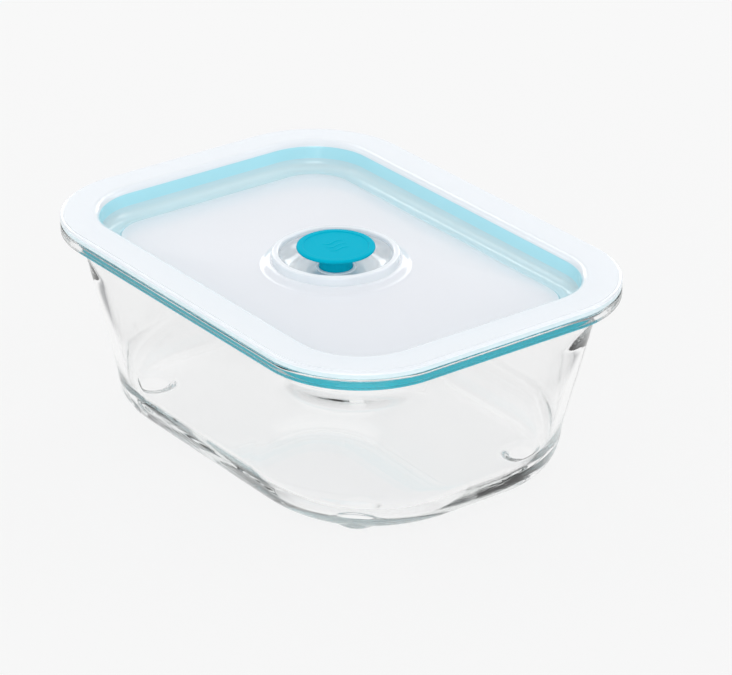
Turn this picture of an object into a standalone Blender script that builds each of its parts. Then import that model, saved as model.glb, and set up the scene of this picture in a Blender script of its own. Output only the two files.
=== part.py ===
# Rectangular glass food storage container with a vented plastic lid.
# Metres, +Z up. The origin is on the table, under the middle of the bowl.
# X runs along the long side. Four pieces: glass_bowl, lid, seal_ring and vent_valve.

import math

import bmesh
import bpy
from mathutils import Vector

# Overall sizes
LID_LENGTH = 0.216
LID_WIDTH = 0.158
LID_CORNER = 0.0422
TOTAL_HEIGHT = 0.082

# Gap between pieces that touch on the real object
SEAT_GAP = 0.0003

# Glass bowl
RIM_OVERHANG = 0.0068
RIM_HEIGHT = 0.0046
RIM_ROUND = 0.0012
RIM_FILLET = 0.0016
WALL = 0.0032
FLOOR = 0.0052
LAND_DEPTH = 0.0119
WALL_DRAFT = 0.0032
WALL_CORNER = 0.0405
WALL_CORNER_GROWTH = 0.0205
CORNER_SETTLE = 0.0100
HEEL_REACH = 0.0160
HEEL_HEIGHT = 0.0160
INNER_HEEL_REACH = 0.0135
INNER_HEEL_HEIGHT = 0.0130
FOOT_HEIGHT = 0.0016
FOOT_RADIUS = 0.0082
FOOT_FLAT_RADIUS = 0.0068
FOOT_ROUND_HEIGHT = 0.0013
FOOT_FROM_END = 0.0390
FOOT_FROM_SIDE = 0.0382
FOOT_ROOT = 0.0011

# Lid border and plug
LID_EDGE = 0.0030
LID_PLATE = 0.0022
LID_WALL = 0.0013
EDGE_LIP = 0.0018
EDGE_ROUND = 0.0009
EDGE_BAND = 0.0042
EDGE_BAND_DROP = 0.0003
BORDER_WIDTH = 0.0160
BORDER_ROUND = 0.0034
RECESS_DEPTH = 0.0117
RECESS_DRAFT = 0.0006
RECESS_FILLET = 0.0046
PLUG_FILLET = 0.0008
FLANGE_REACH = 0.0043
FLANGE_THICKNESS = 0.0015
FLANGE_DEPTH = 0.0103

# Lid panel, which rises to the valve well
MARGIN_WIDTH = 0.0071
PANEL_STEP = 0.0007
PANEL_CROWN = 0.0012
FLARE_REACH = 0.0052
FLARE_RISE = 0.0019

# Valve well
COLLAR_RADIUS = 0.0256
COLLAR_WIDTH = 0.0014
COLLAR_DEPTH = 0.0043
COLLAR_ROUND = 0.0005
WELL_FLOOR_RADIUS = 0.0150
WELL_DEPTH = 0.0112
WELL_FLOOR = 0.0016
BOSS_WIDTH = 0.0009
BOSS_HEIGHT = 0.0005

# Silicone seal ring
SEAL_BAND = 0.0034
SEAL_LIP = 0.0010
SEAL_HEIGHT = 0.0075

# Silicone vent valve
BUTTON_RADIUS = 0.01565
BUTTON_DEPTH = 0.0017
BUTTON_EDGE = 0.0016
BUTTON_RIM = 0.0026
BUTTON_DISH = 0.0005
BUTTON_BELLY = 0.0012
STEM_RADIUS = 0.00665
STEM_CLEARANCE = 0.0003
STEM_FILLET = 0.0009
DISC_RADIUS = 0.0117
DISC_THICKNESS = 0.0017
DISC_ROUND = 0.0004

# Points: each corner of a rounded rectangle, and the arcs and long walls of a section
CORNER_POINTS = 12
ARC_POINTS = 4
HEEL_POINTS = 6
WALL_POINTS = 5
PANEL_POINTS = 4
FOOT_SIDES = 20
VALVE_SIDES = 40

# How much faster than the heel turns under its corners grow tighter
HEEL_CORNER_SHARE = 1.9

# Faces that meet at more than this many degrees keep a crisp edge
SHARP_ANGLE = 40

QUARTER_TURN = math.pi / 2


def clear_scene():
    for thing in list(bpy.data.objects):
        bpy.data.objects.remove(thing, do_unlink=True)


def make_material(name, colour, roughness, alpha, transmission):
    material = bpy.data.materials.new(name)
    material.use_nodes = True
    shader = material.node_tree.nodes["Principled BSDF"]
    shader.inputs["Base Color"].default_value = (*colour, 1)
    shader.inputs["Roughness"].default_value = roughness
    shader.inputs["Metallic"].default_value = 0
    shader.inputs["Alpha"].default_value = alpha
    shader.inputs["Transmission Weight"].default_value = transmission
    return material


def rounded_ring(half_x, half_y, corner, height):
    """Points of a rounded rectangle whose flats lie at half_x and half_y. The chords touch the corner arcs."""
    step = QUARTER_TURN / CORNER_POINTS
    reach = corner / math.cos(step / 2)
    ring = []
    for quarter in range(4):
        for point in range(CORNER_POINTS):
            angle = quarter * QUARTER_TURN + (point + 1 / 2) * step
            along = math.cos(angle)
            across = math.sin(angle)
            x = math.copysign(half_x - corner, along) + reach * along
            y = math.copysign(half_y - corner, across) + reach * across
            ring.append(Vector((x, y, height)))
    return ring


def outline_ring(offset, height):
    """A ring that follows the lid's outline, moved in by offset."""
    return rounded_ring(LID_LENGTH / 2 - offset, LID_WIDTH / 2 - offset, LID_CORNER - offset, height)


def lid_ring(offset, depth):
    """A ring that follows the lid's outline, moved in by offset and down by depth from the lid's top."""
    return outline_ring(offset, TOTAL_HEIGHT - depth)


def well_ring(radius, depth):
    return rounded_ring(radius, radius, radius, TOTAL_HEIGHT - depth)


def blend_rings(outer, inner, share, depth):
    """A ring part of the way from one ring to another, laid at its own depth."""
    ring = [a.lerp(b, share) for a, b in zip(outer, inner)]
    for point in ring:
        point.z = TOTAL_HEIGHT - depth
    return ring


def arc(start, end, bulge_first, points=ARC_POINTS):
    """Points of a quarter ellipse in a section, from start to end, both left out.

    With bulge_first the curve leaves start along its first coordinate, or else along its second."""
    made = []
    for point in range(1, points):
        angle = QUARTER_TURN * point / points
        fast, slow = math.sin(angle), 1 - math.cos(angle)
        first, second = (fast, slow) if bulge_first else (slow, fast)
        made.append((start[0] + (end[0] - start[0]) * first, start[1] + (end[1] - start[1]) * second))
    return made


def smooth(share):
    return share * share * (3 - 2 * share)


def mesh_object(name, mesh_builder, material):
    mesh = bpy.data.meshes.new(name)
    mesh_builder.to_mesh(mesh)
    mesh_builder.free()
    mesh.materials.append(material)
    mesh.shade_smooth()
    mesh.set_sharp_from_angle(angle=math.radians(SHARP_ANGLE))
    thing = bpy.data.objects.new(name, mesh)
    bpy.context.scene.collection.objects.link(thing)
    return thing


def loft(name, rings, material, joined):
    """Skins a row of rings. A joined loft closes on itself, and any other is capped at both ends."""
    builder = bmesh.new()
    rows = [[builder.verts.new(point) for point in ring] for ring in rings]
    followers = rows[1:] + rows[:1] if joined else rows[1:]
    for row, follower in zip(rows, followers):
        for here in range(len(row)):
            there = (here + 1) % len(row)
            builder.faces.new((row[here], row[there], follower[there], follower[here]))
    if not joined:
        builder.faces.new(rows[0])
        builder.faces.new(rows[-1])
    bmesh.ops.recalc_face_normals(builder, faces=builder.faces)
    return mesh_object(name, builder, material)


def wall_ring(height, thickness, heel_reach):
    """One level of the bowl's wall, moved in by thickness, and by heel_reach where the heel turns under.

    The corners grow rounder down to the heel, and tighter round it. Inside, those beside the land
    follow the seal's."""
    land = TOTAL_HEIGHT - LAND_DEPTH
    fall = max(0, land - height)
    share = min(1, fall / (land - FOOT_HEIGHT - HEEL_HEIGHT))
    offset = RIM_OVERHANG + WALL_DRAFT * share + thickness + heel_reach
    corner = WALL_CORNER + WALL_CORNER_GROWTH * share - thickness - HEEL_CORNER_SHARE * heel_reach
    if thickness:
        settled_share = smooth(min(1, fall / CORNER_SETTLE))
        land_corner = LID_CORNER - RIM_OVERHANG - thickness
        corner = land_corner + (corner - land_corner) * settled_share
    return rounded_ring(LID_LENGTH / 2 - offset, LID_WIDTH / 2 - offset, corner, height)


def wall_levels(top, bottom):
    return [top + (bottom - top) * step / WALL_POINTS for step in range(WALL_POINTS + 1)]


def heel_rings(bottom, reach, height, thickness):
    """The rounded turn from the wall to the flat bottom, from the bottom up."""
    rings = []
    for point in range(HEEL_POINTS):
        angle = QUARTER_TURN * point / HEEL_POINTS
        level = bottom + height - height * math.cos(angle)
        rings.append(wall_ring(level, thickness, reach - reach * math.sin(angle)))
    return rings


def rim_section():
    """The rim bead from its inner top edge round to the wall under it, as offset and height."""
    top = TOTAL_HEIGHT - LID_EDGE - SEAT_GAP
    under = top - RIM_HEIGHT
    inner = RIM_OVERHANG + WALL
    points = [(inner, top - RIM_ROUND)]
    points += arc((inner, top - RIM_ROUND), (inner - RIM_ROUND, top), False)
    points += [(inner - RIM_ROUND, top), (RIM_ROUND, top)]
    points += arc((RIM_ROUND, top), (0, top - RIM_ROUND), True)
    points += [(0, top - RIM_ROUND), (0, under + RIM_ROUND)]
    points += arc((0, under + RIM_ROUND), (RIM_ROUND, under), False)
    points += [(RIM_ROUND, under), (RIM_OVERHANG - RIM_FILLET, under)]
    points += arc((RIM_OVERHANG - RIM_FILLET, under), (RIM_OVERHANG, under - RIM_FILLET), True)
    return points


def make_bowl(material):
    land = TOTAL_HEIGHT - LAND_DEPTH
    floor_top = FOOT_HEIGHT + FLOOR
    rings = heel_rings(floor_top, INNER_HEEL_REACH, INNER_HEEL_HEIGHT, WALL)
    inner_levels = wall_levels(land, floor_top + INNER_HEEL_HEIGHT)
    rings += [wall_ring(level, WALL, 0) for level in reversed(inner_levels)]
    rings += [outline_ring(offset, height) for offset, height in rim_section()]
    under_rim = TOTAL_HEIGHT - LID_EDGE - SEAT_GAP - RIM_HEIGHT - RIM_FILLET
    rings.append(wall_ring(under_rim, 0, 0))
    rings += [wall_ring(level, 0, 0) for level in wall_levels(land, FOOT_HEIGHT + HEEL_HEIGHT)]
    rings += reversed(heel_rings(FOOT_HEIGHT, HEEL_REACH, HEEL_HEIGHT, 0))
    bowl = loft("glass_bowl", rings, material, False)
    join = bowl.modifiers.new("feet", "BOOLEAN")
    join.operation = "UNION"
    join.solver = "EXACT"
    join.object = make_feet(material)
    return bowl


def make_feet(material):
    """Four round pads under the corners, as one guide that is joined to the bowl."""
    builder = bmesh.new()
    section = [(FOOT_FLAT_RADIUS, 0)]
    section += arc((FOOT_FLAT_RADIUS, 0), (FOOT_RADIUS, FOOT_ROUND_HEIGHT), True)
    section += [(FOOT_RADIUS, FOOT_ROUND_HEIGHT), (FOOT_RADIUS, FOOT_HEIGHT + FLOOR - FOOT_ROOT)]
    for side_x in (-1, 1):
        for side_y in (-1, 1):
            middle = Vector(
                (side_x * (LID_LENGTH / 2 - FOOT_FROM_END), side_y * (LID_WIDTH / 2 - FOOT_FROM_SIDE), 0)
            )
            rows = []
            for radius, height in section:
                turn = [2 * math.pi * side / FOOT_SIDES for side in range(FOOT_SIDES)]
                ring = [Vector((radius * math.cos(t), radius * math.sin(t), height)) for t in turn]
                rows.append([builder.verts.new(middle + point) for point in ring])
            for row, follower in zip(rows, rows[1:]):
                for here in range(FOOT_SIDES):
                    there = (here + 1) % FOOT_SIDES
                    builder.faces.new((row[here], row[there], follower[there], follower[here]))
            builder.faces.new(rows[0])
            builder.faces.new(rows[-1])
    bmesh.ops.recalc_face_normals(builder, faces=builder.faces)
    feet = mesh_object("feet_guide", builder, material)
    feet.hide_render = True
    feet.display_type = "WIRE"
    return feet


def border_section():
    """Top of the lid from its outer edge to the margin strip round the panel, as offset and depth."""
    points = [(0, LID_EDGE - EDGE_ROUND / 2), (0, EDGE_BAND_DROP + EDGE_ROUND)]
    points += arc((0, EDGE_BAND_DROP + EDGE_ROUND), (EDGE_ROUND, EDGE_BAND_DROP), False)
    points += [(EDGE_ROUND, EDGE_BAND_DROP), (EDGE_BAND - EDGE_BAND_DROP, EDGE_BAND_DROP), (EDGE_BAND, 0)]
    edge = BORDER_WIDTH - BORDER_ROUND
    points += [(edge, 0)]
    points += arc((edge, 0), (BORDER_WIDTH, BORDER_ROUND), True)
    points += [(BORDER_WIDTH, BORDER_ROUND)]
    foot = BORDER_WIDTH + RECESS_DRAFT
    points += [(foot, RECESS_DEPTH - RECESS_FILLET)]
    points += arc((foot, RECESS_DEPTH - RECESS_FILLET), (foot + RECESS_FILLET, RECESS_DEPTH), False)
    points += [(foot + RECESS_FILLET, RECESS_DEPTH), (margin_edge(), RECESS_DEPTH)]
    return points


def margin_edge():
    return BORDER_WIDTH + RECESS_DRAFT + MARGIN_WIDTH


def panel_depths():
    """Depths of the panel: at its outer edge, at the foot of the flare, and at the foot of the collar."""
    edge = RECESS_DEPTH - PANEL_STEP
    flare_foot = edge - PANEL_CROWN
    return edge, flare_foot, flare_foot - FLARE_RISE


def panel_rings(sink):
    """The crowned panel, from its rounded rectangle in to the circle at the collar, sunk by sink."""
    edge, flare_foot, collar_foot = panel_depths()
    outer = lid_ring(margin_edge() + PANEL_STEP, edge + sink)
    inner = well_ring(COLLAR_RADIUS + FLARE_REACH, flare_foot + sink)
    rings = [outer]
    for point in range(1, PANEL_POINTS):
        share = point / PANEL_POINTS
        rings.append(blend_rings(outer, inner, share, edge + sink - PANEL_CROWN * smooth(share)))
    rings.append(inner)
    for point in range(1, ARC_POINTS + 1):
        share = point / ARC_POINTS
        depth = flare_foot + sink - FLARE_RISE * smooth(share)
        rings.append(well_ring(COLLAR_RADIUS + FLARE_REACH * (1 - share), depth))
    return rings


def well_wall():
    """The bowl-shaped wall of the well, from under the collar to the floor, as radius and depth."""
    start = (COLLAR_RADIUS - COLLAR_WIDTH - COLLAR_ROUND, COLLAR_DEPTH + COLLAR_ROUND)
    end = (WELL_FLOOR_RADIUS, WELL_DEPTH)
    return start, arc(start, end, False, HEEL_POINTS), end


def collar_section():
    """The collar round the well, from its outer foot over its top to the inner edge."""
    inner = COLLAR_RADIUS - COLLAR_WIDTH
    low = COLLAR_DEPTH + COLLAR_ROUND
    points = [(COLLAR_RADIUS, low)]
    points += arc((COLLAR_RADIUS, low), (COLLAR_RADIUS - COLLAR_ROUND, COLLAR_DEPTH), False)
    points += [(COLLAR_RADIUS - COLLAR_ROUND, COLLAR_DEPTH), (inner, COLLAR_DEPTH)]
    points += arc((inner, COLLAR_DEPTH), (inner - COLLAR_ROUND, low), True)
    return points


def hole_section():
    """The raised boss round the valve's hole and the hole itself."""
    hole = STEM_RADIUS + STEM_CLEARANCE
    under = WELL_DEPTH + WELL_FLOOR
    boss_foot = hole + BOSS_WIDTH + BOSS_HEIGHT / 2
    boss_top = WELL_DEPTH - BOSS_HEIGHT
    return [(boss_foot, WELL_DEPTH), (hole + BOSS_WIDTH, boss_top), (hole, boss_top), (hole, under)]


def well_underside():
    """The underside of the well, from its floor out to the panel, one lid wall away from the top."""
    _, _, collar_foot = panel_depths()
    under = WELL_DEPTH + WELL_FLOOR
    inner = WELL_FLOOR_RADIUS + LID_WALL / 2
    rise = under - collar_foot - LID_WALL
    points = [(inner, under)]
    for point in range(1, ARC_POINTS):
        share = point / ARC_POINTS
        points.append((inner + (COLLAR_RADIUS - inner) * share, under - rise * smooth(share)))
    return points


def plug_section():
    """The plug under the lid from the panel's edge out to the lip that rests on the glass rim."""
    floor = RECESS_DEPTH + LID_WALL
    foot = BORDER_WIDTH + RECESS_DRAFT - LID_WALL
    flange_under = FLANGE_DEPTH + FLANGE_THICKNESS
    points = [(margin_edge(), floor), (foot + PLUG_FILLET, floor)]
    points += arc((foot + PLUG_FILLET, floor), (foot, floor - PLUG_FILLET), True)
    points += [(foot, flange_under), (foot - FLANGE_REACH, flange_under), (foot - FLANGE_REACH, FLANGE_DEPTH)]
    points += [(foot, FLANGE_DEPTH), (BORDER_WIDTH - LID_WALL, LID_PLATE)]
    points += [(EDGE_LIP, LID_PLATE), (EDGE_LIP, LID_EDGE), (EDGE_ROUND / 2, LID_EDGE)]
    return points


def make_lid(material):
    start, wall, end = well_wall()
    rings = [lid_ring(offset, depth) for offset, depth in border_section()]
    rings += panel_rings(0)
    round_points = collar_section() + [start] + wall + [end] + hole_section() + well_underside()
    rings += [well_ring(radius, depth) for radius, depth in round_points]
    rings += reversed(panel_rings(LID_WALL))
    rings += [lid_ring(offset, depth) for offset, depth in plug_section()]
    return loft("lid", rings, material, True)


def seal_section():
    """The ring's band, which hugs the plug, and its two lips, which wipe the glass."""
    inner = BORDER_WIDTH - LID_WALL - SEAT_GAP
    band = inner - SEAL_BAND
    tip = RIM_OVERHANG + WALL + SEAT_GAP
    top = LID_PLATE + SEAT_GAP
    bottom = top + SEAL_HEIGHT
    pitch = SEAL_HEIGHT / 2
    points = [(inner, bottom), (inner, top)]
    for lip in range(2):
        lip_top = top + pitch * lip
        lip_middle = lip_top + SEAL_LIP
        lip_bottom = lip_middle + SEAL_LIP
        points += [(band, lip_top), (tip + SEAL_LIP / 4, lip_middle - SEAL_LIP / 2), (tip, lip_middle)]
        points += [(tip + SEAL_LIP / 4, lip_middle + SEAL_LIP / 2), (band, lip_bottom)]
    points += [(band, bottom)]
    return points


def make_seal(material):
    rings = [lid_ring(offset, depth) for offset, depth in seal_section()]
    return loft("seal_ring", rings, material, True)


def valve_section():
    """The one-piece valve from the middle of its button down to the middle of its disc."""
    dish = BUTTON_DEPTH + BUTTON_DISH
    rim_inner = BUTTON_RADIUS - BUTTON_RIM
    edge_middle = BUTTON_DEPTH + BUTTON_EDGE / 2
    edge_under = BUTTON_DEPTH + BUTTON_EDGE
    belly = edge_under + BUTTON_BELLY
    disc_top = WELL_DEPTH + WELL_FLOOR + SEAT_GAP
    disc_under = disc_top + DISC_THICKNESS
    points = [(rim_inner - BUTTON_DISH, dish), (rim_inner, BUTTON_DEPTH + BUTTON_DISH / 4)]
    points += [(rim_inner + BUTTON_RIM / 4, BUTTON_DEPTH), (BUTTON_RADIUS - BUTTON_EDGE / 2, BUTTON_DEPTH)]
    points += arc((BUTTON_RADIUS - BUTTON_EDGE / 2, BUTTON_DEPTH), (BUTTON_RADIUS, edge_middle), True)
    points += [(BUTTON_RADIUS, edge_middle)]
    points += arc((BUTTON_RADIUS, edge_middle), (BUTTON_RADIUS - BUTTON_EDGE / 2, edge_under), False)
    points += [(BUTTON_RADIUS - BUTTON_EDGE / 2, edge_under), (STEM_RADIUS + STEM_FILLET, belly)]
    points += arc((STEM_RADIUS + STEM_FILLET, belly), (STEM_RADIUS, belly + STEM_FILLET), True)
    points += [(STEM_RADIUS, belly + STEM_FILLET), (STEM_RADIUS, disc_top)]
    points += [(DISC_RADIUS - DISC_ROUND, disc_top), (DISC_RADIUS, disc_top + DISC_ROUND)]
    points += [(DISC_RADIUS, disc_under - DISC_ROUND), (DISC_RADIUS - DISC_ROUND, disc_under)]
    return points


def make_valve(material):
    rings = []
    for radius, depth in valve_section():
        turn = [2 * math.pi * side / VALVE_SIDES for side in range(VALVE_SIDES)]
        rings.append([Vector((radius * math.cos(t), radius * math.sin(t), TOTAL_HEIGHT - depth)) for t in turn])
    return loft("vent_valve", rings, material, False)


def main():
    clear_scene()
    glass = make_material("clear_glass", (0.94, 0.97, 0.97), 0.02, 0.35, 1)
    frosted = make_material("translucent_polypropylene", (0.80, 0.87, 0.91), 0.25, 0.85, 0.5)
    silicone = make_material("turquoise_silicone", (0.002, 0.50, 0.65), 0.45, 1, 0)
    make_bowl(glass)
    make_lid(frosted)
    make_seal(silicone)
    make_valve(silicone)


main()
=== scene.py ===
import math
import bmesh
import bpy
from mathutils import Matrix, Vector


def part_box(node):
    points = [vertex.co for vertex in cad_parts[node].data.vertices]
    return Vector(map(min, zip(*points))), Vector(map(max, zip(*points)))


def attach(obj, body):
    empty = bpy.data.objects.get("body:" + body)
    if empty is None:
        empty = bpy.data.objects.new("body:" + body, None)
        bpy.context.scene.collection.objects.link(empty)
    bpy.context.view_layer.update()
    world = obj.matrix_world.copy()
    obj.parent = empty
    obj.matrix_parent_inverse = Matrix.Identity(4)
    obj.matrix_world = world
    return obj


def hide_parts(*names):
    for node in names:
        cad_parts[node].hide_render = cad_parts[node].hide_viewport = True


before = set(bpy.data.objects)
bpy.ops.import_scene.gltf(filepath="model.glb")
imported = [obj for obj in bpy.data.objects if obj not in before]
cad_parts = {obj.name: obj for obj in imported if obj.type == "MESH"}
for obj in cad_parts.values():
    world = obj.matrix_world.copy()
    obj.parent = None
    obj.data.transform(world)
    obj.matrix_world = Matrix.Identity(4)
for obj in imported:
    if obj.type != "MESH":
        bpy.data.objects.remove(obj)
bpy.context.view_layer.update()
mm = 0.001
quarterTurn = math.pi / 2
lidLow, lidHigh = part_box("lid")
topLevel = lidHigh.z / mm            # height of the lid's border over the table
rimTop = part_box("glass_bowl")[1].z / mm
lidHalfX = (lidHigh.x - lidLow.x) / 2 / mm
lidHalfY = (lidHigh.y - lidLow.y) / 2 / mm
print("frame loaded, lid", round(lidHalfX * 2, 1), "x", round(lidHalfY * 2, 1), "mm")


# every length below is in millimetres, and a depth is measured down from the lid's border
ringPlan = {
    "sideShares": (-1, -0.97, -0.6, -0.2, 0.2, 0.6, 0.97, 1),    # points along the straight sides
    "cornerPoints": 32,
    "circleSideTurn": 18,            # degrees of a circle that the side points take, each way
}


def linearColour(hexText):
    # sRGB hex to linear, which is what the shader sockets take
    values = [int(hexText[i:i + 2], 16) / 255 for i in (1, 3, 5)]
    return tuple(v / 12.92 if v <= 0.04045 else ((v + 0.055) / 1.055) ** 2.4 for v in values) + (1,)


def addNode(tree, kind, settings=None, links=None):
    # one node: its properties or input values from settings, its inputs from other nodes' outputs;
    # inputs that share one name go by their number
    node = tree.nodes.new(kind)
    for name, value in (settings or {}).items():
        if isinstance(name, int) or name in node.inputs:
            node.inputs[name].default_value = value
        else:
            setattr(node, name, value)
    for name, output in (links or {}).items():
        tree.links.new(output, node.inputs[name])
    return node


def newMaterial(name):
    material = bpy.data.materials.new(name)
    material.use_nodes = True
    material.node_tree.nodes.clear()
    return material, material.node_tree


def unevenNormal(tree, size, depth, detail):
    # the small unevenness of a real surface: noise of the given size and depth in millimetres
    place = addNode(tree, "ShaderNodeTexCoord")
    noise = addNode(tree, "ShaderNodeTexNoise", {"Scale": 1 / (size * mm), "Detail": detail},
                    {"Vector": place.outputs["Object"]})
    bump = addNode(tree, "ShaderNodeBump", {"Strength": 1, "Distance": depth * mm},
                   {"Height": noise.outputs["Fac"]})
    return bump.outputs["Normal"]


def paleShadow(tree, shader, veil):
    # shadow rays meet a thin veil in place of the material, so a clear piece casts a pale shadow
    path = addNode(tree, "ShaderNodeLightPath")
    thin = addNode(tree, "ShaderNodeBsdfTransparent", {"Color": veil})
    mix = addNode(tree, "ShaderNodeMixShader",
                  links={"Fac": path.outputs["Is Shadow Ray"], 1: shader, 2: thin.outputs[0]})
    return mix.outputs[0]


def addObject(name, data):
    added = bpy.data.objects.new(name, data)
    bpy.context.scene.collection.objects.link(added)
    return added


# rings and skins

def roundedRing(halfX, halfY, corner, level):
    # rounded rectangle, anticlockwise, one run of side points and one corner after another
    points = []
    for side in range(4):
        turn = side * quarterTurn
        out = Vector((math.cos(turn), math.sin(turn)))
        along = Vector((-out.y, out.x))
        reach, flat = (halfX, halfY) if side % 2 == 0 else (halfY, halfX)
        for share in ringPlan["sideShares"]:
            points.append(out * reach + along * share * (flat - corner))
        centre = out * (reach - corner) + along * (flat - corner)
        for step in range(1, ringPlan["cornerPoints"] + 1):
            angle = turn + quarterTurn * step / (ringPlan["cornerPoints"] + 1)
            points.append(centre + Vector((math.cos(angle), math.sin(angle))) * corner)
    return [Vector((p.x, p.y, level)) for p in points]


def circleRing(radius, level):
    # circle with the same count and order of points, so that it can follow a rounded rectangle
    sideTurn = math.radians(ringPlan["circleSideTurn"])
    cornerTurn = quarterTurn - 2 * sideTurn
    points = []
    for side in range(4):
        turn = side * quarterTurn
        angles = [turn + share * sideTurn for share in ringPlan["sideShares"]]
        for step in range(1, ringPlan["cornerPoints"] + 1):
            angles.append(turn + sideTurn + cornerTurn * step / (ringPlan["cornerPoints"] + 1))
        points += [Vector((radius * math.cos(a), radius * math.sin(a), level)) for a in angles]
    return points


def outlineRing(offset, level):
    # the lid's outline moved in by offset
    return roundedRing(lidHalfX - offset, lidHalfY - offset, lid["corner"] - offset, level)


def lidRing(offset, depth):
    return outlineRing(offset, topLevel - depth)


def wellRing(radius, depth):
    return circleRing(radius, topLevel - depth)


def arc(start, end, bulgeFirst, steps=6):
    # quarter ellipse from start to end; bulgeFirst leaves start along the first coordinate
    points = [start]
    for step in range(1, steps):
        angle = quarterTurn * step / steps
        fast, slow = math.sin(angle), 1 - math.cos(angle)
        first, second = (fast, slow) if bulgeFirst else (slow, fast)
        points.append((start[0] + (end[0] - start[0]) * first,
                       start[1] + (end[1] - start[1]) * second))
    return points + [end]


def smooth(share):
    return share * share * (3 - 2 * share)


def skin(name, rings, closed, bandSlots=None):
    # joins rings into one solid; bandSlots gives the material slot of the band after each ring
    vertices = [tuple(point * mm) for ring in rings for point in ring]
    count = len(rings[0])
    faces, slots = [], []
    bands = len(rings) if closed else len(rings) - 1
    for band in range(bands):
        here = band * count
        there = (band + 1) % len(rings) * count
        for i in range(count):
            j = (i + 1) % count
            faces.append((here + i, here + j, there + j, there + i))
            slots.append(bandSlots[band] if bandSlots else 0)
    if not closed:
        faces.append(tuple(range(count)))
        faces.append(tuple(range(len(vertices) - count, len(vertices))))
        slots += [0, 0]
    mesh = bpy.data.meshes.new(name)
    mesh.from_pydata(vertices, [], faces)
    mesh.polygons.foreach_set("material_index", slots)
    mesh.validate()
    turnOutward(mesh)
    return addObject(name, mesh)


def turnOutward(mesh):
    # consistent face directions, with the solid's volume positive
    builder = bmesh.new()
    builder.from_mesh(mesh)
    bmesh.ops.recalc_face_normals(builder, faces=builder.faces)
    builder.to_mesh(mesh)
    builder.free()


def finishSurface(mesh, sharpTurn, materials):
    # smooth faces, with an edge wherever the surface turns by more than sharpTurn degrees
    mesh.shade_smooth()
    mesh.set_sharp_from_angle(angle=math.radians(sharpTurn))
    for material in materials:
        mesh.materials.append(material)


def evenShading(piece):
    # big faces keep flat shading beside their small fillets
    weighted = piece.modifiers.new("even shading", "WEIGHTED_NORMAL")
    weighted.keep_sharp = True


# camera, from the photograph's vanishing lines
cameraPlan = {
    "azimuth": 53.17,
    "elevation": 25.81,
    "distance": 1404.0,
    "aimRight": 11.88,      # how far the aim lies from the lid's middle, to the camera's right
    "aimUp": -38.13,        # and along its up
    "lens": 175.15,
    "sensor": 36,
    "clip": (50, 50000),
}


def makeCamera():
    turn, lift = math.radians(cameraPlan["azimuth"]), math.radians(cameraPlan["elevation"])
    back = Vector((math.sin(turn) * math.cos(lift), -math.cos(turn) * math.cos(lift),
                   math.sin(lift)))
    right = Vector((math.cos(turn), math.sin(turn), 0))
    up = back.cross(right)
    place = Vector((0, 0, topLevel)) + back * cameraPlan["distance"]
    place += right * cameraPlan["aimRight"] + up * cameraPlan["aimUp"]
    data = bpy.data.cameras.new("photoCamera")
    data.lens = cameraPlan["lens"]
    data.sensor_width = cameraPlan["sensor"]
    data.clip_start, data.clip_end = (reach * mm for reach in cameraPlan["clip"])
    camera = addObject("photoCamera", data)
    camera.location = place * mm
    camera.rotation_euler = back.to_track_quat("Z", "Y").to_euler()
    bpy.context.scene.camera = camera


makeCamera()
print("camera placed")


# studio: pale floor and walls, a grey ceiling, grey flags at both sides and large soft lamps
studio = {
    "background": "#F6F6F6",
    "floorColour": "#F4F4F4",
    "floorHalf": 4000,
    "floorOwnLight": 0.9,        # share of it that is plain background; the rest takes shadow
    "surroundLight": 0.84,
    "wallEnd": (0.41, 0.48),     # sine of the height where the walls start to end and are gone
    "highGrey": "#B4B7BA",
    "flagSpan": (0.4, 0.7),      # how far aside a direction points where a flag starts and is full
    "floorFlag": (130, 152),     # where the floor's flags start and are full, to each side
    "flagEnd": (85, 125),        # where the floor's flags start to end and are gone, behind
    "flagGrey": "#858789",
    "glassBounces": 32,
    "clearBounces": 16,
    "lamps": {
        "leftBox": {"place": (-800, -700, 900), "size": (450, 700), "power": 1.4},
        "rightBox": {"place": (500, 1000, 900), "size": (450, 700), "power": 2.2},
        "leftStrip": {"place": (-1060, 290, 650), "size": (260, 1000), "power": 2.0},
        "rightStrip": {"place": (-570, 940, 650), "size": (260, 1000), "power": 2.0},
        "frontBox": {"place": (900, -700, 500), "size": (700, 500), "power": 3.6},
    },
}


def eyeRays(tree):
    # 1 for rays that show what lies behind: seen directly, in a reflection or through glass
    path = addNode(tree, "ShaderNodeLightPath")
    first = addNode(tree, "ShaderNodeMath", {"operation": "MAXIMUM"},
                    {0: path.outputs["Is Camera Ray"], 1: path.outputs["Is Glossy Ray"]})
    both = addNode(tree, "ShaderNodeMath", {"operation": "MAXIMUM"},
                   {0: first.outputs[0], 1: path.outputs["Is Transmission Ray"]})
    return path, both.outputs[0]


def sidewaysReach(tree, place):
    # how far a place or a direction lies to the left or right, as the object is looked at
    turn = math.radians(cameraPlan["azimuth"])
    rightward = (math.cos(turn), math.sin(turn), 0)
    sideways = addNode(tree, "ShaderNodeVectorMath",
                       {"operation": "DOT_PRODUCT", 1: rightward}, {0: place})
    either = addNode(tree, "ShaderNodeMath",
                     {"operation": "ABSOLUTE"}, {0: sideways.outputs["Value"]})
    return either.outputs[0]


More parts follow.
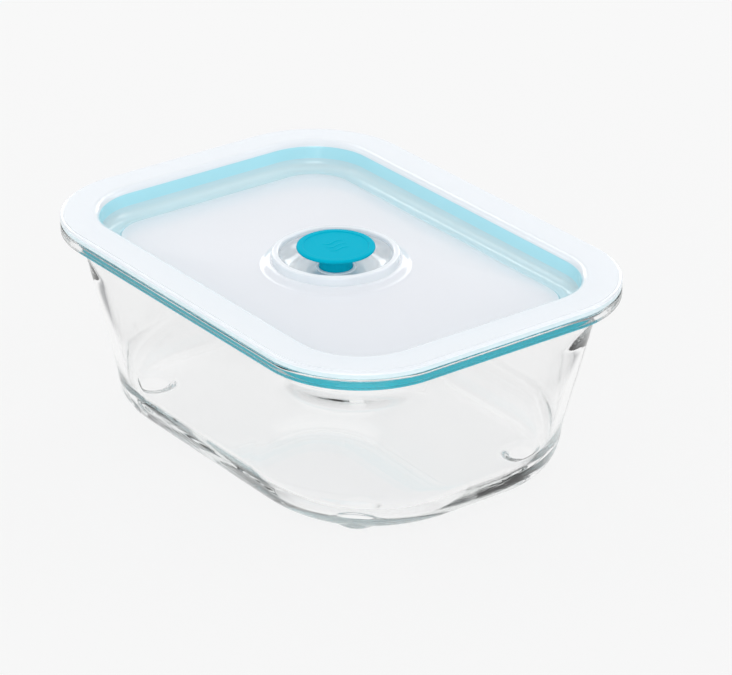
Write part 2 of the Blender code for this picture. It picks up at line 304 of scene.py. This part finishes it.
def makeWorld():
    world = bpy.data.worlds.new("paleStudio")
    bpy.context.scene.world = world
    world.use_nodes = True
    tree = world.node_tree
    tree.nodes.clear()
    path, eye = eyeRays(tree)
    place = addNode(tree, "ShaderNodeTexCoord")
    # grey flags stand left and right of the object, and draw thin grey lines along the glass
    flags = addNode(tree, "ShaderNodeValToRGB",
                    links={"Fac": sidewaysReach(tree, place.outputs["Generated"])})
    paleEnd, greyEnd = flags.color_ramp.elements
    paleEnd.position, greyEnd.position = studio["flagSpan"]
    paleEnd.color = linearColour(studio["background"])
    greyEnd.color = linearColour(studio["flagGrey"])
    walls = addNode(tree, "ShaderNodeBackground", links={"Color": flags.outputs["Color"]})
    ceiling = addNode(tree, "ShaderNodeBackground", {"Color": linearColour(studio["highGrey"])})
    height = addNode(tree, "ShaderNodeSeparateXYZ", links={"Vector": place.outputs["Generated"]})
    wallEnd, ceilingStart = studio["wallEnd"]
    above = addNode(tree, "ShaderNodeMapRange", {"From Min": wallEnd, "From Max": ceilingStart},
                    {"Value": height.outputs["Z"]})
    mirrored = addNode(tree, "ShaderNodeMixShader", links={
        "Fac": above.outputs["Result"], 1: walls.outputs[0], 2: ceiling.outputs[0]})
    # matt surfaces are lit by an even white surround instead
    surround = addNode(tree, "ShaderNodeBackground",
                       {"Color": (1, 1, 1, 1), "Strength": studio["surroundLight"]})
    indirect = addNode(tree, "ShaderNodeMixShader",
                       links={"Fac": eye, 1: surround.outputs[0], 2: mirrored.outputs[0]})
    # and the camera itself sees the plain background
    seen = addNode(tree, "ShaderNodeBackground", {"Color": linearColour(studio["background"])})
    final = addNode(tree, "ShaderNodeMixShader", links={
        "Fac": path.outputs["Is Camera Ray"], 1: indirect.outputs[0], 2: seen.outputs[0]})
    addNode(tree, "ShaderNodeOutputWorld", links={"Surface": final.outputs[0]})


def floorFlags(tree, path):
    # 1 where a ray bent by the glass finds a grey flag lying left or right of the object; the
    # flags end behind it, so that other views hardly show them through the bowl's far wall
    place = addNode(tree, "ShaderNodeTexCoord").outputs["Object"]
    start, full = (reach * mm for reach in studio["floorFlag"])
    beside = addNode(tree, "ShaderNodeMapRange",
                     {"interpolation_type": "SMOOTHSTEP", "From Min": start, "From Max": full},
                     {"Value": sidewaysReach(tree, place)})
    turn = math.radians(cameraPlan["azimuth"])
    away = (-math.sin(turn), math.cos(turn), 0)
    behind = addNode(tree, "ShaderNodeVectorMath",
                     {"operation": "DOT_PRODUCT", 1: away}, {0: place})
    full, gone = (reach * mm for reach in studio["flagEnd"])
    near = addNode(tree, "ShaderNodeMapRange",
                   {"interpolation_type": "SMOOTHSTEP", "From Min": full, "From Max": gone,
                    "To Min": 1, "To Max": 0}, {"Value": behind.outputs["Value"]})
    bent = addNode(tree, "ShaderNodeMath", {"operation": "MULTIPLY"},
                   {0: beside.outputs["Result"], 1: path.outputs["Is Transmission Ray"]})
    flagged = addNode(tree, "ShaderNodeMath", {"operation": "MULTIPLY"},
                      {0: bent.outputs[0], 1: near.outputs["Result"]})
    return flagged.outputs[0]


def makeFloor():
    # matt painted board: even and pale, without highlights, with a soft shadow under the object
    half = studio["floorHalf"] * mm
    mesh = bpy.data.meshes.new("studioFloor")
    corners = [(-half, -half, 0), (half, -half, 0), (half, half, 0), (-half, half, 0)]
    mesh.from_pydata(corners, [], [(0, 1, 2, 3)])
    floor = addObject("studioFloor", mesh)
    material, tree = newMaterial("mattBoardPainted")
    board = addNode(tree, "ShaderNodeBsdfDiffuse", {"Color": linearColour(studio["floorColour"])})
    path, eye = eyeRays(tree)
    pale = addNode(tree, "ShaderNodeEmission", {"Color": linearColour(studio["background"])})
    dark = addNode(tree, "ShaderNodeEmission", {"Color": linearColour(studio["flagGrey"])})
    glow = addNode(tree, "ShaderNodeMixShader",
                   links={"Fac": floorFlags(tree, path), 1: pale.outputs[0], 2: dark.outputs[0]})
    share = addNode(tree, "ShaderNodeMath",
                    {"operation": "MULTIPLY", 1: studio["floorOwnLight"]}, {0: eye})
    mix = addNode(tree, "ShaderNodeMixShader",
                  links={"Fac": share.outputs[0], 1: board.outputs[0], 2: glow.outputs[0]})
    addNode(tree, "ShaderNodeOutputMaterial", links={"Surface": mix.outputs[0]})
    mesh.materials.append(material)


def makeLamps():
    # area lamps aimed at the lid, which the glass mirrors but doesn't show through itself
    aim = Vector((0, 0, topLevel * mm))
    for name, lamp in studio["lamps"].items():
        data = bpy.data.lights.new(name, "AREA")
        data.shape = "RECTANGLE"
        data.size, data.size_y = (side * mm for side in lamp["size"])
        data.energy = lamp["power"]
        light = addObject(name, data)
        light.location = Vector(lamp["place"]) * mm
        light.visible_transmission = False
        light.rotation_euler = (light.location - aim).to_track_quat("Z", "Y").to_euler()


def setLightPaths():
    # enough bounces for light to find its way through both walls of the bowl and the lid
    scene = bpy.context.scene
    scene.view_settings.view_transform = "Standard"
    scene.cycles.max_bounces = studio["glassBounces"]
    scene.cycles.transmission_bounces = studio["glassBounces"]
    scene.cycles.glossy_bounces = studio["glassBounces"]
    scene.cycles.transparent_max_bounces = studio["clearBounces"]


makeWorld()
makeFloor()
makeLamps()
setLightPaths()
print("studio ready")


# glass bowl
bowl = {
    "rimOverhang": 6.8,
    "rimHeight": 4.6,
    "rimRound": 1.2,
    "rimFillet": 1.6,
    "wall": 3.2,
    "wallSteps": 18,
    "floorLevel": 6.8,
    "base": 1.6,
    "landDepth": 11.9,
    "draft": 3.2,
    "corner": 40.5,                # outer corner radius under the rim
    "cornerGrowth": 20.5,          # what it gains down to the heel
    "cornerSettle": 10.0,          # how far down the inner corners take to follow the outer ones
    "heel": (16.0, 16.0),          # reach in and height of the outer turn under
    "innerHeel": (13.5, 13.0),
    "heelSteps": 16,
    "heelCornerShare": 1.9,        # how much faster than the heel turns under its corners tighten
    # rings on the flat base, in from the heel
    "baseRings": (1, 2, 3, 4.5, 6, 7.5, 9, 10.5, 12, 14, 18, 24, 29),
    "footPlace": (69.0, 40.8),
    "footFlat": 6.0,
    "footReach": 10.5,
    "footCuts": 3,                 # how much finer the faces round a foot are cut
    "footCutShare": 1.25,          # and how far from its middle, in foot reaches
    "footTilt": 0.05,              # least downward lean of a face that belongs to the outside
    "sharpTurn": 45,
    "tint": "#EBEFED",
    "tintDensity": 4,
    "wave": 22,                    # width of the slow ripples that pressing leaves
    "waveDepth": 0.006,
    "shadowVeil": (0.93, 0.95, 0.95, 1),
}


def wallRing(level, thickness, heelReach):
    # corners grow rounder down to the heel; inside, those beside the seal keep its corner
    land = topLevel - bowl["landDepth"]
    fall = max(0, land - level)
    share = min(1, fall / (land - bowl["base"] - bowl["heel"][1]))
    offset = bowl["rimOverhang"] + bowl["draft"] * share + thickness + heelReach
    tightening = bowl["heelCornerShare"] * min(heelReach, bowl["heel"][0])
    tightening += max(0, heelReach - bowl["heel"][0])
    corner = bowl["corner"] + bowl["cornerGrowth"] * share - thickness - tightening
    if thickness:
        settled = smooth(min(1, fall / bowl["cornerSettle"]))
        landCorner = lid["corner"] - bowl["rimOverhang"] - thickness
        corner = landCorner + (corner - landCorner) * settled
    return roundedRing(lidHalfX - offset, lidHalfY - offset, corner, level)


def heelRings(bottom, heel, thickness):
    reach, height = heel
    rings = []
    for step in range(bowl["heelSteps"]):
        angle = quarterTurn * step / bowl["heelSteps"]
        level = bottom + height - height * math.cos(angle)
        rings.append(wallRing(level, thickness, reach - reach * math.sin(angle)))
    return rings


def wallRings(top, bottom, thickness):
    steps = bowl["wallSteps"]
    levels = [top + (bottom - top) * step / steps for step in range(steps + 1)]
    return [wallRing(level, thickness, 0) for level in levels]


def rimSection():
    # fire-polished bead: level top for the lid, round edges, from the inside over to the outer wall
    top, under = rimTop, rimTop - bowl["rimHeight"]
    overhang, edge, fillet = bowl["rimOverhang"], bowl["rimRound"], bowl["rimFillet"]
    inner = overhang + bowl["wall"]
    points = arc((inner, top - edge), (inner - edge, top), False)
    points += arc((edge, top), (0, top - edge), True)
    points += arc((0, under + edge), (edge, under), False)
    points += arc((overhang - fillet, under), (overhang, under - fillet), True)
    return points


def pressFeet(mesh):
    # four round pads pushed down from the base, with a soft flare into the heel
    footX, footY = bowl["footPlace"]
    places = [Vector((x * footX, y * footY)) * mm for x in (-1, 1) for y in (-1, 1)]
    flat, reach = bowl["footFlat"] * mm, bowl["footReach"] * mm
    builder = bmesh.new()
    builder.from_mesh(mesh)
    builder.normal_update()

    def spread(point):
        return min((point.xy - place).length for place in places)

    def nearFoot(face):
        close = spread(face.calc_center_median()) < reach * bowl["footCutShare"]
        return len(face.verts) == 4 and close and face.normal.z < -bowl["footTilt"]

    edges = {edge for face in builder.faces if nearFoot(face) for edge in face.edges}
    bmesh.ops.subdivide_edges(builder, edges=list(edges), cuts=bowl["footCuts"], use_grid_fill=True)
    builder.normal_update()
    for vertex in builder.verts:
        gap = spread(vertex.co)
        if gap < reach and vertex.normal.z < 0 and vertex.co.z < bowl["heel"][1] * mm:
            vertex.co.z *= smooth(max(0, (gap - flat) / (reach - flat)))
    builder.to_mesh(mesh)
    builder.free()


def makeBowl():
    # one section from the inner floor up the wall, over the rim, down outside and in under the base
    land = topLevel - bowl["landDepth"]
    rings = heelRings(bowl["floorLevel"], bowl["innerHeel"], bowl["wall"])
    rings += reversed(wallRings(land, bowl["floorLevel"] + bowl["innerHeel"][1], bowl["wall"]))
    rings += [outlineRing(offset, level) for offset, level in rimSection()]
    rings += wallRings(land, bowl["base"] + bowl["heel"][1], 0)
    rings += reversed(heelRings(bowl["base"], bowl["heel"], 0))
    rings += [wallRing(bowl["base"], 0, bowl["heel"][0] + inward) for inward in bowl["baseRings"]]
    piece = skin("glassBowl", rings, closed=False)
    pressFeet(piece.data)
    finishSurface(piece.data, bowl["sharpTurn"], [pressedGlass()])
    evenShading(piece)
    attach(piece, "bowl")
    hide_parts("glass_bowl")


def pressedGlass():
    # soda-lime glass, pressed in a mould and fire polished: clear and glossy, faintly green
    # where it is thick, with slow ripples that bend what is seen through it
    material, tree = newMaterial("sodaLimeGlassPressed")
    glass = addNode(tree, "ShaderNodeBsdfPrincipled", {
        "Base Color": (1, 1, 1, 1), "Roughness": 0.01, "IOR": 1.52, "Transmission Weight": 1,
    }, {"Normal": unevenNormal(tree, bowl["wave"], bowl["waveDepth"], detail=1)})
    tint = addNode(tree, "ShaderNodeVolumeAbsorption",
                   {"Color": linearColour(bowl["tint"]), "Density": bowl["tintDensity"]})
    surface = paleShadow(tree, glass.outputs[0], bowl["shadowVeil"])
    addNode(tree, "ShaderNodeOutputMaterial", links={"Surface": surface, "Volume": tint.outputs[0]})
    return material


# lid
lid = {
    "corner": 42.2,
    "edge": 3.0,                   # how deep the outer edge hangs
    "edgeLean": 0.15,
    "plate": 2.2,                  # thickness of the border
    "wall": 1.3,
    "edgeLip": 1.8,
    "edgeRound": 0.9,
    "edgeBand": 1.5,               # width of the band along the edge, a little below the border
    "edgeBandDrop": 0.3,
    "border": 16.0,
    "borderRound": 3.4,
    "milkyDepth": 1.9,             # how far down the recess wall is milky
    "recess": 11.7,
    "recessDraft": 0.6,
    "recessFillet": 4.6,
    "plugFillet": 0.8,
    "flangeReach": 4.3,
    "flangeThickness": 1.5,
    "flangeDepth": 10.3,
    "margin": 7.1,                 # from the recess wall to the panel
    "marginGap": 0.3,              # how far before the panel's step the margin ends
    "panelStep": 0.7,
    "panelCrown": 1.2,             # how much the panel rises towards the well
    "panelSteps": 12,
    "flareReach": 5.2,
    "flareRise": 1.9,
    "flareSteps": 8,
    "collarRadius": 25.6,
    "collarWidth": 2.0,
    "collarDepth": 4.3,
    "collarRound": 0.95,
    "collarMilky": 1.5,            # how far down the collar is milky, in collar rounds
    "wellFloorRadius": 15.0,
    "wellDepth": 11.2,
    "wellFloor": 1.6,
    "undersideSteps": 12,
    "holeRadius": 6.95,
    "bossWidth": 0.9,
    "bossHeight": 0.5,
    "bossMilky": 2,                # how far from the hole the floor is milky, in boss widths
    "sharpTurn": 50,
    # colour, roughness, coat, transmission, share of a face that is clear, frosted,
    # share of the light that runs through
    "plastics": {
        "polypropyleneMoulded": ("#ECF0F5", 0.22, 0.6, 0.05, 0.08, False, 0),
        "polypropyleneFrosted": ("#E8EAEF", 0.4, 0.8, 0.1, 0.12, True, 0),
        "polypropylenePolished": ("#E8EBEE", 0.08, 1, 0.3, 0.25, False, 0),
        # painted light: this cyan stands in for the seal's glow through the thin recess wall, on
        # top of what really shows through
        "polypropyleneThinWallPaintedSealGlow": ("#BFF3FD", 0.12, 0.5, 0.1, 0.2, False, 0),
        # painted light: this pale cyan stands in for the seal's glow through the thick fillet and
        # margin, and under the outer edge
        "polypropyleneMarginPaintedSealGlow": ("#DDF0F5", 0.15, 0.6, 0.1, 0.25, False, 0),
        # painted reflection: this darker blue stands in for the seal's cyan mirrored in the panel's
        # step
        "polypropyleneStepPaintedReflection": ("#B5D6E0", 0.2, 0.4, 0.1, 0.3, False, 0),
        "polypropyleneUnderside": ("#F0F5F8", 0.2, 0.2, 0, 0.1, False, 1),
    },
    "index": 1.49,
    "coatRoughness": 0.08,
    "shadowVeil": (0.9, 0.92, 0.93, 1),
    "grain": 0.6,                  # grain of the frosted panel, drawn coarser than real to show
    "grainDepth": 0.02,
    "flow": 14,                    # slow unevenness of the smooth faces
    "flowDepth": 0.02,
    "throughDepth": 3.0,           # how far light runs in the milky plastic
}


def marginEdge():
    return lid["border"] + lid["recessDraft"] + lid["margin"]


def borderSection():
    # outer edge, flat border, its round into the recess, the wall, its fillet and the margin
    edge, drop, band = lid["edgeRound"], lid["edgeBandDrop"], lid["edgeBand"]
    points = [(lid["edgeLean"], lid["edge"]), (0, lid["edge"] - edge / 2)]
    points += arc((0, drop + edge), (edge, drop), False)
    points += arc((band - drop, drop), (band, 0), True, steps=3)
    border, fall = lid["border"], lid["borderRound"]
    points += arc((border - fall, 0), (border, fall), True, steps=12)
    foot, fillet = border + lid["recessDraft"], lid["recessFillet"]
    points += arc((foot, lid["recess"] - fillet), (foot + fillet, lid["recess"]), False, steps=12)
    points += [(marginEdge() - lid["marginGap"], lid["recess"])]
    return points


def panelRings(sink):
    # crowned panel that turns from the rounded outline into a circle, then flares up to the collar
    edge = lid["recess"] - lid["panelStep"]
    flareFoot = edge - lid["panelCrown"]
    outer = lidRing(marginEdge() + lid["panelStep"], edge + sink)
    inner = wellRing(lid["collarRadius"] + lid["flareReach"], flareFoot + sink)
    rings = [outer]
    for step in range(1, lid["panelSteps"]):
        share = step / lid["panelSteps"]
        ring = [a.lerp(b, share) for a, b in zip(outer, inner)]
        for point in ring:
            point.z = topLevel - (edge + sink - lid["panelCrown"] * smooth(share))
        rings.append(ring)
    rings.append(inner)
    for step in range(1, lid["flareSteps"] + 1):
        share = step / lid["flareSteps"]
        rings.append(wellRing(lid["collarRadius"] + lid["flareReach"] * (1 - share),
                              flareFoot + sink - lid["flareRise"] * smooth(share)))
    return rings


def wellSection():
    # collar, bowl-shaped wall, floor, boss, hole and the underside back out to the collar,
    # as radius and depth
    outer, top, edge = lid["collarRadius"], lid["collarDepth"], lid["collarRound"]
    inner, low = outer - lid["collarWidth"], top + edge
    floor, depth = lid["wellFloorRadius"], lid["wellDepth"]
    points = arc((outer, low), (outer - edge, top), False)
    points += arc((inner, top), (inner - edge, low), True)
    points += arc((inner - edge, low), (floor, depth), False, steps=16)[1:]
    hole, under = lid["holeRadius"], depth + lid["wellFloor"]
    boss, bossTop = hole + lid["bossWidth"], depth - lid["bossHeight"]
    points += [(boss + lid["bossHeight"] / 2, depth), (boss, bossTop)]
    points += [(hole, bossTop), (hole, under)]
    collarFoot = lid["recess"] - lid["panelStep"] - lid["panelCrown"] - lid["flareRise"]
    start = floor + lid["wall"] / 2
    rise = under - collarFoot - lid["wall"]
    points.append((start, under))
    for step in range(1, lid["undersideSteps"]):
        share = step / lid["undersideSteps"]
        points.append((start + (outer - start) * share, under - rise * smooth(share)))
    return points


def plugSection():
    # back out under the margin, up the plug wall round its flange and along under the border
    floor = lid["recess"] + lid["wall"]
    foot, fillet = lid["border"] + lid["recessDraft"] - lid["wall"], lid["plugFillet"]
    flangeUnder = lid["flangeDepth"] + lid["flangeThickness"]
    points = [(marginEdge(), floor)]
    points += arc((foot + fillet, floor), (foot, floor - fillet), True)[:-1]
    points += [(foot, flangeUnder), (foot - lid["flangeReach"], flangeUnder)]
    points += [(foot - lid["flangeReach"], lid["flangeDepth"]), (foot, lid["flangeDepth"])]
    points += [(lid["border"] - lid["wall"], lid["plate"]), (lid["edgeLip"], lid["plate"])]
    points += [(lid["edgeLip"], lid["edge"])]
    return points


def makeLid():
    order = list(lid["plastics"])
    moulded, frosted, polished, sealGlowPaintedWall, margin, paintedStepReflection, underside = range(len(order))
    border, well, plug = borderSection(), wellSection(), plugSection()
    panel, sunkPanel = panelRings(0), panelRings(lid["wall"])
    rings = [lidRing(offset, depth) for offset, depth in border] + panel
    rings += [wellRing(radius, depth) for radius, depth in well]
    rings += list(reversed(sunkPanel)) + [lidRing(offset, depth) for offset, depth in plug]
    slots = []
    for offset, depth in border[:-1]:
        # below its milky top the recess wall takes the painted seal glow, its fillet and the margin
        # the paler painted glow
        wall = sealGlowPaintedWall if depth < lid["recess"] - lid["recessFillet"] else margin
        slots.append(moulded if depth < lid["milkyDepth"] or offset < lid["edgeBand"] else wall)
    # the thin outer edge takes the paler painted seal glow
    slots[:2] = [margin] * 2          # the thin outer edge shows a little blue
    # the panel's step takes the painted reflection of the seal
    slots += [paintedStepReflection] + [frosted] * (len(panel) - 1) + [moulded]
    collarLow = lid["collarDepth"] + lid["collarMilky"] * lid["collarRound"]
    bossReach = lid["holeRadius"] + lid["bossMilky"] * lid["bossWidth"]
    for radius, depth in well:
        boss = radius < bossReach and depth <= lid["wellDepth"]
        slots.append(moulded if boss or depth < collarLow else polished)
    slots += [frosted] * len(sunkPanel)
    backWall = lid["border"] - lid["borderRound"] - lid["wall"]
    for offset, depth in plug:
        # the plug's faces take the painted seal glow too
        slots.append(underside if depth <= lid["edge"] or offset < backWall else sealGlowPaintedWall)
    piece = skin("lidShell", rings, closed=True, bandSlots=slots)
    finishSurface(piece.data, lid["sharpTurn"],
                  [mouldedPolypropylene(name, *lid["plastics"][name]) for name in order])
    evenShading(piece)
    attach(piece, "lid")
    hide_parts("lid")


def mouldedPolypropylene(name, colour, roughness, coat, transmission, clearness, frosted, through):
    # natural polypropylene, injection moulded: milky, lets near colour through; polished steel
    # leaves its faces glossy and sparked steel the frost
    # the cyan colours of some slots are painted light, standing in for the seal's glow
    material, tree = newMaterial(name)
    if frosted:
        normal = unevenNormal(tree, lid["grain"], lid["grainDepth"], detail=3)
    else:
        normal = unevenNormal(tree, lid["flow"], lid["flowDepth"], detail=1)
    plastic = addNode(tree, "ShaderNodeBsdfPrincipled", {
        "Base Color": linearColour(colour), "Roughness": roughness, "IOR": lid["index"],
        "Transmission Weight": transmission, "Coat Weight": coat,
        "Coat Roughness": lid["coatRoughness"], "Coat IOR": lid["index"],
        "Subsurface Weight": through, "Subsurface Radius": (1, 1, 1),
        "Subsurface Scale": lid["throughDepth"] * mm,
    }, {"Normal": normal})
    clear = addNode(tree, "ShaderNodeBsdfTransparent", {"Color": (1, 1, 1, 1)})
    thin = addNode(tree, "ShaderNodeMixShader", {"Fac": clearness},
                   {1: plastic.outputs[0], 2: clear.outputs[0]})
    addNode(tree, "ShaderNodeOutputMaterial",
            links={"Surface": paleShadow(tree, thin.outputs[0], lid["shadowVeil"])})
    return material


# seal ring
seal = {
    "gap": 0.3,
    "band": 3.4,
    "lip": 1.0,
    "lips": 2,
    "lipSteps": 8,
    "height": 7.5,
    "sharpTurn": 50,
    "colour": "#20CCDE",
    "roughness": 0.35,
}


def makeSeal():
    # a band round the plug with rounded lips that reach for the inside of the glass
    inner = lid["border"] - lid["wall"] - seal["gap"]
    band, tip = inner - seal["band"], bowl["rimOverhang"] + bowl["wall"] + seal["gap"]
    top = lid["plate"] + seal["gap"]
    bottom = top + seal["height"]
    points = [(inner, bottom), (inner, top)]
    for lipIndex in range(seal["lips"]):
        start = top + seal["height"] / seal["lips"] * lipIndex
        for step in range(seal["lipSteps"] + 1):
            angle = math.pi * step / seal["lipSteps"]
            points.append((band - (band - tip) * math.sin(angle),
                           start + seal["lip"] * (1 - math.cos(angle))))
    points += [(band, bottom)]
    piece = skin("sealRing", [lidRing(offset, depth) for offset, depth in points], closed=True)
    rubber = mouldedSilicone("siliconeMouldedSeal", seal["colour"], seal["roughness"])
    finishSurface(piece.data, seal["sharpTurn"], [rubber])
    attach(piece, "lid")
    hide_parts("seal_ring")


# both silicone pieces
silicone = {
    "index": 1.41,
    "highlight": 0.04,               # low, so that the colour stays full in the pale studio
    "bloom": 0.5,                    # size of the fine unevenness that leaves rubber satin
    "bloomDepth": 0.01,
    "throughShare": 0.15,
    "throughColour": (0.3, 1.0, 1.0),
    "throughDepth": 1.0,
}


def mouldedSilicone(name, colour, roughness):
    # silicone rubber, compression moulded: saturated, satin, lets a little light into its edges
    material, tree = newMaterial(name)
    rubber = addNode(tree, "ShaderNodeBsdfPrincipled", {
        "Base Color": linearColour(colour), "Roughness": roughness, "IOR": silicone["index"],
        "Specular IOR Level": silicone["highlight"],
        "Subsurface Weight": silicone["throughShare"],
        "Subsurface Radius": silicone["throughColour"],
        "Subsurface Scale": silicone["throughDepth"] * mm,
    }, {"Normal": unevenNormal(tree, silicone["bloom"], silicone["bloomDepth"], detail=2)})
    addNode(tree, "ShaderNodeOutputMaterial", links={"Surface": rubber.outputs[0]})
    return material


# vent valve
valve = {
    "buttonRadius": 15.65,
    "buttonDepth": 1.7,
    "buttonEdge": 1.6,
    "buttonRim": 2.6,
    "dish": 0.35,
    "dishShares": (0.2, 0.5, 0.8),
    "belly": 1.2,
    "stemRadius": 6.65,
    "stemFillet": 0.9,
    "discRadius": 11.7,
    "discThickness": 1.7,
    "discRound": 0.4,
    "gap": 0.3,
    "sharpTurn": 50,
    "colour": "#01ADC8",
    "roughness": 0.55,
    "waveCount": 3,
    "wavePitch": 3.3,
    "waveLength": 9.5,
    "waveSwing": 0.9,
    "waveWidth": 0.6,
    "waveRise": 0.2,
    "waveSink": 0.02,               # how far a wave starts below the dish
    "waveTip": 0.02,                # share of its width and rise that is left at the tips
    "waveTurn": 114,                # degrees from the camera's depth direction
    "waveAcross": 8,
    "waveAlong": 40,
    "waveSharpTurn": 60,
}


def makeValve():
    # dished button with a round rim, belly, stem through the hole and disc under the well floor
    rim, depth, edge = valve["buttonRadius"], valve["buttonDepth"], valve["buttonEdge"]
    dish, lip, inner = depth + valve["dish"], valve["dish"], rim - valve["buttonRim"]
    middle, under, belly = depth + edge / 2, depth + edge, depth + edge + valve["belly"]
    stem, fillet = valve["stemRadius"], valve["stemFillet"]
    discTop = lid["wellDepth"] + lid["wellFloor"] + valve["gap"]
    discUnder = discTop + valve["discThickness"]
    disc, discRound = valve["discRadius"], valve["discRound"]
    points = [(inner * share, dish) for share in valve["dishShares"]]
    points += arc((inner - lip, dish), (inner, dish - lip / 2), True, steps=4)
    points += arc((inner, dish - lip / 2), (inner + lip, depth), False, steps=4)[1:]
    points += arc((rim - edge / 2, depth), (rim, middle), True, steps=8)
    points += arc((rim, middle), (rim - edge / 2, under), False, steps=8)[1:]
    points += arc((stem + fillet, belly), (stem, belly + fillet), True) + [(stem, discTop)]
    points += arc((disc - discRound, discTop), (disc, discTop + discRound), True, steps=4)
    points += arc((disc, discUnder - discRound), (disc - discRound, discUnder), False, steps=4)
    piece = skin("ventValve", [wellRing(radius, below) for radius, below in points], closed=False)
    rubber = mouldedSilicone("siliconeMouldedValve", valve["colour"], valve["roughness"])
    finishSurface(piece.data, valve["sharpTurn"], [rubber])
    evenShading(piece)
    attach(piece, "valve")
    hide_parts("vent_valve")
    makeSteamWaves(rubber, topLevel - dish)


def makeSteamWaves(rubber, dishLevel):
    # plain steam waves, raised a little from the dish, as one mesh of soft ridges
    vertices, faces = [], []
    across, along = valve["waveAcross"], valve["waveAlong"]
    row = across + 1
    for wave in range(valve["waveCount"]):
        middle = (wave - (valve["waveCount"] - 1) / 2) * valve["wavePitch"]
        first = len(vertices)
        for step in range(along + 1):
            share = step / along
            y = (share - 0.5) * valve["waveLength"]
            x = middle + valve["waveSwing"] * math.sin(2 * math.pi * share)
            taper = max(math.sin(math.pi * share) ** 0.5, valve["waveTip"])
            for side in range(row):
                angle = math.pi * side / across
                offset = -math.cos(angle) * valve["waveWidth"] * taper
                rise = math.sin(angle) * valve["waveRise"] * taper - valve["waveSink"]
                vertices.append(((x + offset) * mm, y * mm, (dishLevel + rise) * mm))
        for step in range(along):
            start, end = first + step * row, first + (step + 1) * row
            for side in range(across):
                faces.append((start + side, end + side, end + side + 1, start + side + 1))
            faces.append((start, start + across, end + across, end))
        faces.append(tuple(first + side for side in range(row)))
        faces.append(tuple(first + along * row + side for side in range(row)))
    mesh = bpy.data.meshes.new("steamWaves")
    mesh.from_pydata(vertices, [], faces)
    turnOutward(mesh)
    finishSurface(mesh, valve["waveSharpTurn"], [rubber])
    waves = addObject("steamWaves", mesh)
    waves.rotation_euler.z = math.radians(cameraPlan["azimuth"] + valve["waveTurn"])
    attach(waves, "valve")


makeBowl()
print("glass bowl made")
makeLid()
print("lid made")
makeSeal()
print("seal ring made")
makeValve()
print("vent valve made")
